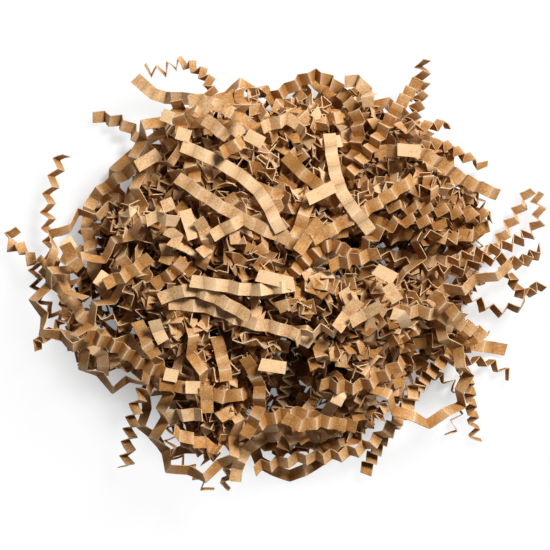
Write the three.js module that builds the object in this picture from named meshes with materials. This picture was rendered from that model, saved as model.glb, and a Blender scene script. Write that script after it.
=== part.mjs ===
import * as THREE from "three";

// A nest of crinkle-cut kraft paper shred: sixty narrow strips, each creased into
// an accordion, tangled into one springy heap that rests on a level surface.
// Millimetres, +Z up. Strips are laid one after another from the floor upwards.

// One strip
const STRIP_WIDTH = 2.8;
const PAPER_THICKNESS = 0.2;
const PANEL_LENGTH = 3.0;
const CREASE_UNEVENNESS = 9;
const LEAST_TILT = 4;
const MOST_TILT = 66;
// A panel moves on by at least this much, and its creases are eased until it does
const LEAST_ADVANCE = 0.3;
const EASING = 0.75;
const EASING_PASSES = 8;
// A strip folded less than this has its last panels pulled almost flat
const LOOSE_FOLD = 45;
const END_PANELS = 2;
const END_PANEL_TILT = 9;

// The heap
const NEST_LENGTH = 124;
const NEST_WIDTH = 99;
const CROWN_HEIGHT = 34;
const CROWN_FULLNESS = 0.6;
const CROWN_SHARE = 0.94;
const SEAT_GAP = 0.3;

// How a strip drapes over what lies below it
const DRAPE_STEP = 1.5;
const DRAPE_SPAN = 14;
const STEEPEST_SLOPE = 1.05;
const SMOOTHING_PASSES = 3;
const SAG_TRIES = 9;
const GRID_CELL = 4;

// The plan positions below are written on a heap of this length and width
const PLAN_LENGTH = 124;
const PLAN_WIDTH = 99;
const planX = NEST_LENGTH / PLAN_LENGTH;
const planY = NEST_WIDTH / PLAN_WIDTH;

// The strips inside, in layers from the floor up: share of the crown's height, count
const INNER_LAYERS = [
  { level: 0.3, count: 3 },
  { level: 0.62, count: 2 },
  { level: 0.8, count: 2 },
];
const INNER_LENGTH = 220;
const INNER_PANEL_LENGTH = 5;
const INNER_FOLD = 38;
const INNER_ROLLS = { least: 15, spread: 45 };
const INNER_TWIST = 60;
// An inner strip wanders in steps, bends anew every few steps and turns back near the rim.
// Of many tries, the one is kept that stays farthest from the other strips.
const INNER_STEP = 3;
const INNER_BEND_STEPS = 5;
const INNER_TIGHTEST_BEND = 9;
const INNER_REACH = 0.76;
const INNER_CLEARANCE = 7;
const INNER_STEPS_APART = 7;
const INNER_TRIES = 140;
const INNER_NOTICE = 9;
const INNER_STEPS_PER_POINT = 3;
const INNER_SEED = 7;

// Strips low at the rim. fold: how steep the panels stand, in degrees.
// roll: 0 lies face up, 90 stands on its edge. twist: how much the roll changes along it.
// level: share of the crown it rides at.
const RIM_STRIPS = {
  left_outer_strand: {
    fold: 52, roll: -58,
    via: [
      [-49, 28], [-51, 22], [-52.4, 16], [-52, 10], [-51.4, 3.5],
      [-47, -1], [-38, -5], [-28, -8], [-16, -6],
    ],
  },
  far_left_strand: {
    fold: 50, roll: -60,
    via: [[-60.5, 11], [-61.5, 7], [-58, 6.5], [-56, 3.6], [-51, 3.6], [-38, 8], [-26, 10]],
  },
  left_thin_strand: {
    fold: 58, roll: -66,
    via: [[-55, 3], [-54, -4], [-50, -9], [-42, -13], [-36, -12], [-24, -8]],
  },
  upper_left_tail: {
    fold: 48, roll: 28, level: 0.25,
    via: [[-42, 37], [-35, 35], [-29, 29], [-20, 22], [-8, 18], [2, 20], [14, 14], [22, 6]],
  },
  left_arc: {
    fold: 40, roll: 10, level: 0.5,
    via: [
      [-28, 28], [-33, 24.5], [-38, 21.2], [-42, 17.5],
      [-43.3, 12], [-42.5, 6.5], [-41.4, 0.5], [-38, -5],
    ],
  },
  top_left_loop: {
    fold: 60, roll: -74,
    via: [
      [-30, 47], [-26, 46.5], [-22, 48.5], [-18, 47], [-15, 43.5], [-15, 39],
      [-17, 34], [-22, 28], [-16, 20], [-8, 14], [2, 8],
    ],
  },
  top_left_flap: {
    fold: 16, roll: 6, level: 0.2,
    via: [[-32, 45], [-27, 41], [-20, 40], [-12, 38], [-4, 33], [8, 26]],
  },
  top_right_coil: {
    fold: 62, roll: -50,
    via: [[33.4, 49.3], [33, 42], [31, 36], [28, 29], [24, 23], [14, 16]],
  },
  top_right_curl: { fold: 46, roll: -72, via: [[12, 34], [20, 35], [28, 33.5], [39, 34.5]] },
  upper_right_zigzag: {
    fold: 52, roll: -70,
    via: [[10, 22], [22, 24], [30, 28], [37, 30], [43, 27.5], [48, 25]],
  },
  right_long_strand: {
    fold: 47, roll: 28, twist: 50, level: 0.8,
    via: [[10, 4], [20, 5], [28, 4.6], [36, 3.5], [43, 3.6], [49, 5.6], [53.5, 11.5], [58.5, 20]],
  },
  right_fan: { fold: 60, roll: 55, via: [[30, -2], [42, 4], [53, 7], [60, 12], [60, 19]] },
  far_right_strand: { fold: 52, roll: 60, via: [[20, 6], [32, 2], [40, 1], [49, 4], [55, 3], [61, 6]] },
  right_hook: { fold: 50, roll: 85, via: [[32, -6], [44, -2], [52, 1], [56, -4], [61, -2]] },
  right_tail: {
    fold: 46, roll: 66,
    via: [[14, -6], [27, -4], [34, -2], [42, -4], [50, -8], [57, -6]],
  },
  flat_tail: {
    fold: 16, roll: 4,
    via: [[16, -8], [27, -11], [34, -14], [40, -15], [47, -16], [53, -17]],
  },
  lower_right_tail: {
    fold: 52, roll: 80,
    via: [[14, -16], [26, -15], [33, -16], [41, -19], [49, -20], [54, -23]],
  },
  lower_right_wisp: {
    fold: 52, roll: 88,
    via: [[18, -12], [28, -19], [34, -22], [41, -25], [42, -31], [40, -37]],
  },
  lower_right_spring: {
    fold: 60, roll: 86,
    via: [[20, -4], [32, -12], [38, -17], [43, -22], [45, -31], [46, -38]],
  },
  ridged_strand: {
    fold: 65, roll: 18, level: 0.45,
    via: [[20.5, -45], [24, -38], [28.8, -31.5], [33.5, -23.5], [39, -18], [44, -12]],
  },
  lower_left_spring: {
    fold: 58, roll: -50,
    via: [[-6, -16], [-16, -22], [-24, -24], [-30, -26], [-33, -34], [-34.4, -44]],
  },
  low_left_strand: {
    fold: 48, roll: 82,
    via: [[-55, -16], [-48, -10], [-39, -9], [-31, -12], [-18, -14], [-6, -12]],
  },
  left_face_strand: {
    fold: 38, roll: 16, level: 0.2,
    via: [[-53, 2], [-46, -6], [-40, -13], [-32, -18], [-22, -24]],
  },
  left_loop: { fold: 14, roll: 14, via: [[-50, -13], [-43.5, -15], [-39.5, -18], [-39.5, -22.5]] },
  bottom_curl: {
    fold: 58, roll: -80,
    via: [[-10, -16], [-18, -24], [-22, -30], [-24, -39], [-19, -44], [-15, -49]],
  },
  bottom_zigzag: {
    fold: 60, roll: 88,
    via: [[-12, -49], [-10, -42], [-4, -36], [1, -29], [3, -22], [6, -12]],
  },
  bottom_strand: {
    fold: 36, roll: 10, level: 0.2,
    via: [[-9.5, -47], [-8, -41.5], [-4, -37.5], [3, -36], [10, -36.5], [18, -32], [22, -22]],
  },
  bottom_outer_strand: {
    fold: 48, roll: 30, level: 0.2,
    via: [[-5, -44], [1, -42.5], [7, -41.5], [14, -41], [21, -38.5], [28, -32], [32, -24]],
  },
};

// Strips on the crown, laid last
const CROWN_STRIPS = {
  top_arm: {
    fold: 50, roll: 20, level: 0.55,
    via: [[-2, 40], [3, 43], [9, 46], [14, 43], [18, 37], [18, 29], [14, 21]],
  },
  upper_left_ladder: { fold: 52, roll: 12, via: [[-22, 39], [-21, 32], [-19, 25], [-17, 18]] },
  left_low_arm: {
    fold: 56, roll: 14, level: 0.85,
    via: [[-42, -13], [-35, -16], [-29, -20], [-23, -22]],
  },
  lower_left_arm: {
    fold: 40, roll: 10, level: 0.85,
    via: [[-26, -24], [-18, -25], [-12, -27], [-6, -26]],
  },
  bottom_arm: {
    fold: 50, roll: 14, level: 0.85,
    via: [[-7, -35], [-1, -32], [5, -31], [12, -33], [18, -34]],
  },
  bottom_bend: {
    fold: 30, roll: 16, level: 0.95,
    via: [[-7, -18], [-4, -24], [-4, -30], [-7, -36]],
  },
  lower_right_arm: {
    fold: 52, roll: 24, level: 0.9,
    via: [[10, -24], [17, -25], [23, -23], [29, -19]],
  },
  right_low_arm: {
    fold: 48, roll: 20, level: 0.9,
    via: [[26, -8], [33, -8], [40, -10], [48, -14]],
  },
  right_arm: {
    fold: 52, roll: -55, level: 0.9,
    via: [[24, 16], [31, 15.2], [37, 15], [43, 14], [49, 14]],
  },
  right_upper_arm: {
    fold: 34, roll: 14, level: 0.9,
    via: [[22, 28], [31, 28], [37, 25.5], [41.5, 22.5], [46, 20.5], [51, 18.5]],
  },
  top_right_arm: { fold: 58, roll: 16, level: 0.85, via: [[32, 44], [26, 36], [22, 30], [16, 22]] },
  crown_under_band: { fold: 32, roll: 10, via: [[-24, -6], [-15, -7], [-7, -10], [2, -12], [8, -15]] },
  crown_right_wave: { fold: 48, roll: -50, via: [[18, 5], [23, 10], [29, 12.5], [38, 11.5]] },
  crown_low_flat: { fold: 34, roll: 8, via: [[-12, -18], [-7, -15], [3, -16]] },
  crown_low_right: { fold: 50, roll: 58, via: [[4, -14], [9, -12], [13, -12], [18, -4]] },
  crown_left_short: { fold: 42, roll: 14, via: [[-22, 16], [-18, 11], [-15, 7], [-17, 2]] },
  crown_top_flat: { fold: 14, roll: 8, via: [[2, 27], [6, 23], [11, 19], [14, 16]] },
  crown_ladder: { fold: 63, roll: 10, via: [[2, -1], [7, 4], [12, 7], [18, 4]] },
  crown_diagonal: { fold: 44, roll: 12, via: [[8, 8], [15, 12], [22, 16], [31, 22]] },
  crown_steep_arm: { fold: 24, roll: 8, via: [[12, 32], [13, 24], [15, 18], [21, 10]] },
  crown_middle_arm: { fold: 32, roll: 10, via: [[8, 19], [6, 13], [3, 6]] },
  crown_low_band: { fold: 32, roll: 10, via: [[-26, -5], [-19, -3], [-13, -5], [-6, -9]] },
  crown_pale_arm: { fold: 22, roll: 10, via: [[-22, 22], [-13, 16], [-6, 12], [3, 8]] },
  crown_bright_arm: { fold: 26, roll: 6, via: [[-21, 29], [-12, 25], [-4, 19], [1, 10]] },
  crown_short_flat: { fold: 32, roll: 6, via: [[-19, -1], [-12, -2], [-6, -3], [4, -2]] },
};

const PAPER_TONES = [0xc8965f, 0xb98850, 0xd6a671, 0xa97845, 0xcfa377];

const toRad = THREE.MathUtils.degToRad;
const clamp = THREE.MathUtils.clamp;

// Repeatable random numbers between 0 and 1
function seededRandom(seed) {
  let state = seed >>> 0;
  return () => {
    state = (state + 0x6d2b79f5) >>> 0;
    let t = state;
    t = Math.imul(t ^ (t >>> 15), t | 1);
    t ^= t + Math.imul(t ^ (t >>> 7), t | 61);
    return ((t ^ (t >>> 14)) >>> 0) / 4294967296;
  };
}

// Height of the heap's outline over a plan point
function domeHeight(x, y) {
  const along = (2 * x) / (CROWN_SHARE * NEST_LENGTH);
  const across = (2 * y) / (CROWN_SHARE * NEST_WIDTH);
  const inside = 1 - along * along - across * across;
  return inside > 0 ? CROWN_HEIGHT * Math.pow(inside, CROWN_FULLNESS) : 0;
}

// The faces already laid, filed by plan cell
class LaidFaces {
  constructor() {
    this.cells = new Map();
  }

  static cellsOf(minX, minY, maxX, maxY) {
    const keys = [];
    for (let i = Math.floor(minX / GRID_CELL); i <= Math.floor(maxX / GRID_CELL); i++) {
      for (let j = Math.floor(minY / GRID_CELL); j <= Math.floor(maxY / GRID_CELL); j++) {
        keys.push(`${i},${j}`);
      }
    }
    return keys;
  }

  add(faces) {
    for (const face of faces) {
      for (const key of LaidFaces.cellsOf(face.minX, face.minY, face.maxX, face.maxY)) {
        if (!this.cells.has(key)) this.cells.set(key, []);
        this.cells.get(key).push(face);
      }
    }
  }

  near(minX, minY, maxX, maxY) {
    const found = new Set();
    for (const key of LaidFaces.cellsOf(minX, minY, maxX, maxY)) {
      for (const face of this.cells.get(key) ?? []) {
        const apart = face.minX > maxX || face.maxX < minX || face.minY > maxY || face.maxY < minY;
        if (!apart) found.add(face);
      }
    }
    return found;
  }

  // The highest laid paper within a square around a plan point, or the floor
  topAt(x, y, reach) {
    let top = 0;
    for (const face of this.near(x - reach, y - reach, x + reach, y + reach)) {
      top = Math.max(top, face.maxZ);
    }
    return top;
  }
}

// Height of a face over a plan point, or null beside it
function heightOver(face, x, y) {
  const [a, b, c] = face.corners;
  const area = (b.x - a.x) * (c.y - a.y) - (c.x - a.x) * (b.y - a.y);
  if (Math.abs(area) < 1e-9) return null;
  const v = ((x - a.x) * (c.y - a.y) - (c.x - a.x) * (y - a.y)) / area;
  const w = ((b.x - a.x) * (y - a.y) - (x - a.x) * (b.y - a.y)) / area;
  if (v < 0 || w < 0 || v + w > 1) return null;
  return a.z + v * (b.z - a.z) + w * (c.z - a.z);
}

// Drop from one edge to another where they cross in plan
function edgeDrop(a, b, c, d) {
  const cross = (b.x - a.x) * (d.y - c.y) - (b.y - a.y) * (d.x - c.x);
  if (Math.abs(cross) < 1e-12) return Infinity;
  const s = ((c.x - a.x) * (d.y - c.y) - (c.y - a.y) * (d.x - c.x)) / cross;
  const t = ((c.x - a.x) * (b.y - a.y) - (c.y - a.y) * (b.x - a.x)) / cross;
  if (s < 0 || s > 1 || t < 0 || t > 1) return Infinity;
  return a.z + s * (b.z - a.z) - (c.z + t * (d.z - c.z));
}

// Smallest vertical drop from an upper face to a lower one
function faceDrop(upper, lower) {
  let drop = Infinity;
  for (const p of upper.corners) {
    const z = heightOver(lower, p.x, p.y);
    if (z !== null) drop = Math.min(drop, p.z - z);
  }
  for (const p of lower.corners) {
    const z = heightOver(upper, p.x, p.y);
    if (z !== null) drop = Math.min(drop, z - p.z);
  }
  for (let i = 0; i < 3; i++) {
    for (let j = 0; j < 3; j++) {
      const u = upper.corners;
      const l = lower.corners;
      drop = Math.min(drop, edgeDrop(u[i], u[(i + 1) % 3], l[j], l[(j + 1) % 3]));
    }
  }
  return drop;
}

// Heights along a plan curve for a springy strip lying over what is below it
function drapeHeights(curve, spec, laid, sag) {
  const steps = Math.max(6, Math.round(curve.getLength() / DRAPE_STEP));
  const roll = toRad(spec.roll);
  const waveHeight = spec.panel * Math.sin(toRad(spec.fold));
  const halfHeight = (waveHeight * Math.cos(roll) + STRIP_WIDTH * Math.sin(roll)) / 2;
  const halfReach = (waveHeight * Math.sin(roll) + STRIP_WIDTH * Math.cos(roll)) / 2;
  const seat = [];
  for (let i = 0; i <= steps; i++) {
    const p = curve.getPointAt(i / steps);
    const below = laid.topAt(p.x, p.y, halfReach) + (halfHeight + SEAT_GAP);
    seat.push(Math.max(below, spec.level * domeHeight(p.x, p.y) + halfHeight));
  }
  const pitch = curve.getLength() / steps;
  const window = Math.max(1, Math.round(DRAPE_SPAN / pitch));
  let heights = seat.map((own, i) => {
    let best = own;
    for (let j = Math.max(0, i - window); j < i; j++) {
      for (let k = i + 1; k <= Math.min(steps, j + window); k++) {
        best = Math.max(best, seat[j] + ((seat[k] - seat[j]) * (i - j)) / (k - j));
      }
    }
    return best;
  });
  const steepest = STEEPEST_SLOPE * pitch;
  for (let i = 1; i <= steps; i++) heights[i] = Math.max(heights[i], heights[i - 1] - steepest);
  for (let i = steps - 1; i >= 0; i--) heights[i] = Math.max(heights[i], heights[i + 1] - steepest);
  for (let pass = 0; pass < SMOOTHING_PASSES; pass++) {
    const rough = heights;
    heights = rough.map((z, i) => (rough[Math.max(0, i - 1)] + 2 * z + rough[Math.min(steps, i + 1)]) / 4);
  }
  return heights.map((z) => THREE.MathUtils.lerp(z, halfHeight, sag));
}

// Centre line in space: the plan curve lifted to its draped heights, then let down by a share of them
function strandCurve(spec, laid, sag) {
  const plan = new THREE.CatmullRomCurve3(
    spec.via.map(([x, y]) => new THREE.Vector3(x * planX, y * planY, 0)),
    false,
    "centripetal",
  );
  const heights = drapeHeights(plan, spec, laid, sag);
  const points = heights.map((z, i) => plan.getPointAt(i / (heights.length - 1)).setZ(z));
  return new THREE.CatmullRomCurve3(points, false, "centripetal");
}

// Creases along a centre line: each has its centre and the strip's side and face directions
function creaseStations(curve, spec, random) {
  const length = curve.getLength();
  const panels = [];
  let covered = 0;
  while (covered < length - spec.panel / 2) {
    const left = Math.min(covered, length - covered) / spec.panel;
    const calm = spec.fold < LOOSE_FOLD ? clamp(left / END_PANELS, 0, 1) : 1;
    const uneven = (random() * 2 - 1) * CREASE_UNEVENNESS;
    const mean = spec.fold * calm + END_PANEL_TILT * (1 - calm);
    const tilt = toRad(clamp(mean + uneven, LEAST_TILT, MOST_TILT));
    panels.push(tilt);
    covered += spec.panel * Math.cos(tilt);
  }
  const stretch = length / covered;
  const stations = [];
  let s = 0;
  for (let i = 0; i <= panels.length; i++) {
    const before = panels[Math.max(0, i - 1)];
    const after = panels[Math.min(panels.length - 1, i)];
    const tilt = (before + after) / 2;
    const u = clamp((s * stretch) / length, 0, 1);
    const centre = curve.getPointAt(u);
    const reach = spec.panel / length;
    const behind = curve.getPointAt(Math.max(0, u - reach));
    const forward = curve.getPointAt(Math.min(1, u + reach)).sub(behind).normalize();
    const level = new THREE.Vector3(-forward.y, forward.x, 0).normalize();
    const up = new THREE.Vector3().crossVectors(forward, level);
    const roll = toRad(spec.roll + spec.twist * (u - 0.5));
    const side = level.clone().multiplyScalar(Math.cos(roll)).addScaledVector(up, Math.sin(roll));
    const face = up.clone().multiplyScalar(Math.cos(roll)).addScaledVector(level, -Math.sin(roll));
    const wave = ((i % 2 ? -1 : 1) * spec.panel * Math.sin(tilt)) / 2;
    centre.addScaledVector(face, wave);
    stations.push({ centre, forward, side, face, wave, cosTilt: Math.cos(tilt) });
    if (i < panels.length) s += spec.panel * Math.cos(panels[i]);
  }
  for (let pass = 0; pass < EASING_PASSES; pass++) easeCreases(stations);
  return stations;
}

// Flattens the creases at both ends of each panel that hardly moves on along the strip
function easeCreases(stations) {
  const sections = stripCorners(stations, 0);
  const tight = new Set();
  for (let i = 1; i < stations.length; i++) {
    const steps = sections[i].map((corner, k) => corner.clone().sub(sections[i - 1][k]));
    const ways = [stations[i - 1].forward, stations[i].forward];
    const advance = Math.min(...steps.flatMap((step) => ways.map((way) => step.dot(way))));
    if (advance < LEAST_ADVANCE) tight.add(stations[i]).add(stations[i - 1]);
  }
  for (const station of tight) {
    const eased = station.wave * EASING;
    station.centre.addScaledVector(station.face, eased - station.wave);
    station.cosTilt = Math.sqrt(1 - (1 - station.cosTilt ** 2) * EASING ** 2);
    station.wave = eased;
  }
}

// Closed skin of a creased strip with a mitred thickness; grow adds air all round it
function stripCorners(stations, grow) {
  const halfWidth = STRIP_WIDTH / 2 + grow;
  const last = stations.length - 1;
  return stations.map(({ centre, forward, side, face, cosTilt }, i) => {
    const halfThick = (PAPER_THICKNESS / 2 + grow) / cosTilt;
    const along = i === 0 ? -grow : i === last ? grow : 0;
    const corner = (a, b) =>
      centre.clone().addScaledVector(forward, along).addScaledVector(side, a * halfWidth)
        .addScaledVector(face, b * halfThick);
    return [corner(1, 1), corner(-1, 1), corner(-1, -1), corner(1, -1)];
  });
}

// Corner numbers of the triangles that close the skin, facing out
function stripTriangles(stationCount) {
  const at = (station, corner) => station * 4 + corner;
  const triangles = [];
  const quad = (a, b, c, d) => triangles.push([a, b, c], [a, c, d]);
  for (let i = 0; i < stationCount - 1; i++) {
    // The two faces of a panel are split along the same diagonal
    quad(at(i, 0), at(i, 1), at(i + 1, 1), at(i + 1, 0));
    quad(at(i, 1), at(i, 2), at(i + 1, 2), at(i + 1, 1));
    quad(at(i, 3), at(i + 1, 3), at(i + 1, 2), at(i, 2));
    quad(at(i, 3), at(i, 0), at(i + 1, 0), at(i + 1, 3));
  }
  const end = stationCount - 1;
  quad(at(0, 3), at(0, 2), at(0, 1), at(0, 0));
  quad(at(end, 0), at(end, 1), at(end, 2), at(end, 3));
  return triangles;
}

// Faces of a skin with their plan and height limits
function skinFaces(corners, triangles) {
  const flat = corners.flat();
  return triangles.map((triangle) => {
    const c = triangle.map((index) => flat[index]);
    const xs = c.map((p) => p.x);
    const ys = c.map((p) => p.y);
    return {
      corners: c,
      minX: Math.min(...xs),
      maxX: Math.max(...xs),
      minY: Math.min(...ys),
      maxY: Math.max(...ys),
      maxZ: Math.max(...c.map((p) => p.z)),
    };
  });
}

// How far a strip can come straight down before it meets the floor, and laid paper with its air gap
function roomBelow(stations, triangles, laid) {
  const floor = Math.min(...stripCorners(stations, 0).flat().map((p) => p.z));
  let paper = Infinity;
  for (const upper of skinFaces(stripCorners(stations, SEAT_GAP), triangles)) {
    for (const lower of laid.near(upper.minX, upper.minY, upper.maxX, upper.maxY)) {
      paper = Math.min(paper, faceDrop(upper, lower));
    }
  }
  return { floor, paper };
}

// Lets a strip down: it sags until it meets both the floor and the paper under it, where it can
function seatStrip(spec, laid, seed) {
  const attempt = (sag) => {
    const stations = creaseStations(strandCurve(spec, laid, sag), spec, seededRandom(seed));
    const triangles = stripTriangles(stations.length);
    return { stations, triangles, room: roomBelow(stations, triangles, laid) };
  };
  let seated = attempt(0);
  let low = 0;
  let high = seated.room.paper > seated.room.floor ? 1 : 0;
  for (let i = 0; i < SAG_TRIES && high > 0; i++) {
    const middle = (low + high) / 2;
    const next = attempt(middle);
    if (next.room.paper >= next.room.floor) {
      low = middle;
      seated = next;
    } else {
      high = middle;
    }
  }
  const drop = Math.min(seated.room.floor, seated.room.paper);
  for (const station of seated.stations) station.centre.z -= drop;
  return seated;
}

// Lays one strip on the heap and returns its mesh
function layStrip(name, given, laid, seed) {
  const spec = { level: 0, twist: 0, panel: PANEL_LENGTH, ...given };
  const { stations, triangles } = seatStrip(spec, laid, seed);
  const corners = stripCorners(stations, 0);
  laid.add(skinFaces(corners, triangles));
  const geometry = new THREE.BufferGeometry();
  const positions = corners.flat().flatMap((p) => [p.x, p.y, p.z]);
  geometry.setAttribute("position", new THREE.Float32BufferAttribute(positions, 3));
  geometry.setIndex(triangles.flat());
  geometry.computeVertexNormals();
  const color = PAPER_TONES[seed % PAPER_TONES.length];
  const paper = new THREE.MeshStandardMaterial({ color, roughness: 0.85, metalness: 0, flatShading: true });
  const mesh = new THREE.Mesh(geometry, paper);
  mesh.name = name;
  return mesh;
}

// Points along a strip's run, in plan units, at its share of the crown's height
function runPoint(x, y, level) {
  return new THREE.Vector3(x, y, level * domeHeight(x * planX, y * planY));
}

// One try at an inner strip's run; it ends early where it would meet itself
function wanderingRun(random, level) {
  const bearing = 2 * Math.PI * random();
  const away = INNER_REACH * Math.sqrt(random());
  let x = (away * Math.cos(bearing) * PLAN_LENGTH) / 2;
  let y = (away * Math.sin(bearing) * PLAN_WIDTH) / 2;
  let heading = 2 * Math.PI * random();
  let bend = 0;
  const run = [];
  for (let i = 0; i * INNER_STEP < INNER_LENGTH; i++) {
    const earlier = run.slice(0, Math.max(0, i - INNER_STEPS_APART));
    if (earlier.some((p) => Math.hypot(p.x - x, p.y - y) < INNER_CLEARANCE)) break;
    run.push(runPoint(x, y, level));
    if (i % INNER_BEND_STEPS === 0) bend = (2 * random() - 1) / INNER_TIGHTEST_BEND;
    if (Math.hypot((2 * x) / PLAN_LENGTH, (2 * y) / PLAN_WIDTH) > INNER_REACH) {
      const inward = Math.sin(Math.atan2(-y, -x) - heading);
      bend = Math.sign(inward) / INNER_TIGHTEST_BEND;
    }
    heading += bend * INNER_STEP;
    x += INNER_STEP * Math.cos(heading);
    y += INNER_STEP * Math.sin(heading);
  }
  return run;
}

// Of many tries, the run that is longest and farthest from what is already placed
function emptiestRun(random, level, placed) {
  let best = [];
  let most = 0;
  for (let i = 0; i < INNER_TRIES; i++) {
    const run = wanderingRun(random, level);
    const room = run.map((p) => Math.min(INNER_NOTICE ** 2, ...placed.map((q) => p.distanceToSquared(q))));
    const score = room.reduce((sum, square) => sum + Math.sqrt(square), 0);
    if (score > most) {
      most = score;
      best = run;
    }
  }
  return best;
}

// Strips inside the heap, by layer, between the runs of the named strips
function innerStrips(named, random) {
  const placed = named.flatMap(([, spec]) => {
    const plan = new THREE.CatmullRomCurve3(spec.via.map(([x, y]) => new THREE.Vector3(x, y, 0)));
    const spaced = plan.getSpacedPoints(Math.ceil(plan.getLength() / INNER_STEP));
    return spaced.map((p) => runPoint(p.x, p.y, spec.level ?? 0));
  });
  return INNER_LAYERS.map(({ level, count }, layer) =>
    Array.from({ length: count }, (_, i) => {
      const run = emptiestRun(random, level, placed);
      placed.push(...run);
      const via = run.filter((_p, step) => step % INNER_STEPS_PER_POINT === 0).map((p) => [p.x, p.y]);
      const roll = INNER_ROLLS.least + INNER_ROLLS.spread * random();
      const twist = INNER_TWIST * (random() - 0.5);
      const spec = { fold: INNER_FOLD, panel: INNER_PANEL_LENGTH, roll, twist, level, via };
      return [`inner_strip_${layer + 1}_${i + 1}`, spec];
    }),
  );
}

function buildNest() {
  const laid = new LaidFaces();
  const rim = Object.entries(RIM_STRIPS);
  const crown = Object.entries(CROWN_STRIPS).map(([name, spec]) => [name, { level: 1, ...spec }]);
  const [lowest, ...higher] = innerStrips([...rim, ...crown], seededRandom(INNER_SEED));
  const heap = new THREE.Group();
  [...lowest, ...rim, ...higher.flat(), ...crown].forEach(([name, spec], order) => {
    heap.add(layStrip(name, spec, laid, order + 1));
  });
  const box = new THREE.Box3().setFromObject(heap);
  heap.position.set(-(box.min.x + box.max.x) / 2, -(box.min.y + box.max.y) / 2, -box.min.z);
  const nest = new THREE.Group();
  nest.name = "shred_nest";
  nest.add(heap);
  return nest;
}

export default buildNest();
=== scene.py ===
"""A nest of crinkle cut kraft paper shred, dressed for its portrait from above.

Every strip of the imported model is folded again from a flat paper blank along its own
crease lines, with rounded creases, curled panels and pale cut edges. Loose strips then
fill the heap, and a few short ones lie on top of it. Lengths are in metres, +Z up.
"""

import logging
import math
from dataclasses import dataclass, field
from enum import Enum
from typing import Sequence

import bmesh
import bpy
import numpy as np
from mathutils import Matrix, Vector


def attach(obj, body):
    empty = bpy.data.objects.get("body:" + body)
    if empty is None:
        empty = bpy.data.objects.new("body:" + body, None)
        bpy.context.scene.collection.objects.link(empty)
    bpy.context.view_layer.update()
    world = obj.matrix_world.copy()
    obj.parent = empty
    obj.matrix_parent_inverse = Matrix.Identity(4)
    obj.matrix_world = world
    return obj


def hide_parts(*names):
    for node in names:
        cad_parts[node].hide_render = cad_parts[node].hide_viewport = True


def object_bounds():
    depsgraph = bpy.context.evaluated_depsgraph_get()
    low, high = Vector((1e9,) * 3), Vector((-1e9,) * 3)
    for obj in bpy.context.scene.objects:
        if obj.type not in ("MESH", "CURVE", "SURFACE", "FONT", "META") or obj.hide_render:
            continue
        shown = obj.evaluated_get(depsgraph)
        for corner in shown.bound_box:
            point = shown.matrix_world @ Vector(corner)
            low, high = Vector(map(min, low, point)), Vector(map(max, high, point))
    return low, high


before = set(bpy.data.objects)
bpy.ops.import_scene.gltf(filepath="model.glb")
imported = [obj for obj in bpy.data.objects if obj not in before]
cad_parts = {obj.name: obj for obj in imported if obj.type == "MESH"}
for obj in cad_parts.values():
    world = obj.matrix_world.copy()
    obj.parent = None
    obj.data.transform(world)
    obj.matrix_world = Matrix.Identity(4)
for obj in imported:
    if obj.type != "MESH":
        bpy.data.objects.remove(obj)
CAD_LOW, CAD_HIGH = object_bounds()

log = logging.getLogger("shred_nest")

MM = 0.001
TINY = 1e-12


def unit_rows(rows: np.ndarray, least: float = TINY) -> np.ndarray:
    """Rows of vectors, each divided by its length plus a least length."""
    return rows / (np.linalg.norm(rows, axis=1, keepdims=True) + least)


class Tone(Enum):
    """How pale a strip's paper is, from 0 to 1."""

    PLAIN = 0.5
    PALE = 0.8
    BRIGHT = 1.0


class Detail(Enum):
    """How finely a strip is folded, from deep in the heap to its top."""

    SHARP = "flat panels with sharp creases"
    ROUNDED = "flat panels with rounded creases"
    CURLED = "curled panels with rounded creases"


@dataclass(frozen=True)
class PaperStrip:
    """One strip of paper as it is cut and creased.

    Args:
        width: Across the strip.
        thickness: Of the paper.
        panel: From crease to crease.
        crease_share: Where a crease's rounding starts, as a share of the panel.
        crease_shade: How strongly a ridge's wear and painted highlight, and a valley's painted shade, go on
            beside the crease.
        curl: How far the middle of a panel bulges.
        cupping: How far the middle of the strip stands above its cut edges.
        skew: How far a crease line's two ends are out of square.
    """

    width: float = 2.8 * MM
    thickness: float = 0.18 * MM
    panel: float = 3.0 * MM
    crease_share: float = 0.06
    crease_shade: float = 0.5
    curl: float = 0.09 * MM
    cupping: float = 0.05 * MM
    skew: float = 0.12 * MM


@dataclass
class CreaseLines:
    """A folded strip as the two ends of each of its crease lines.

    Args:
        left: One end of each crease line, one row per crease.
        right: The other end.
        tone: How pale the strip's paper is.
    """

    left: np.ndarray
    right: np.ndarray
    tone: float

    @property
    def panels(self) -> int:
        """Number of panels between the crease lines."""
        return len(self.left) - 1

    def samples(self) -> np.ndarray:
        """Points spread over the strip, for finding room for other strips.

        Returns:
            An array of points, three across and two along each panel.
        """
        middle = (self.left + self.right) / 2
        lines = np.stack([self.left, middle, self.right], axis=1)
        between = (lines[:-1] + lines[1:]) / 2
        return np.concatenate([lines.reshape(-1, 3), between.reshape(-1, 3)])


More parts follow.
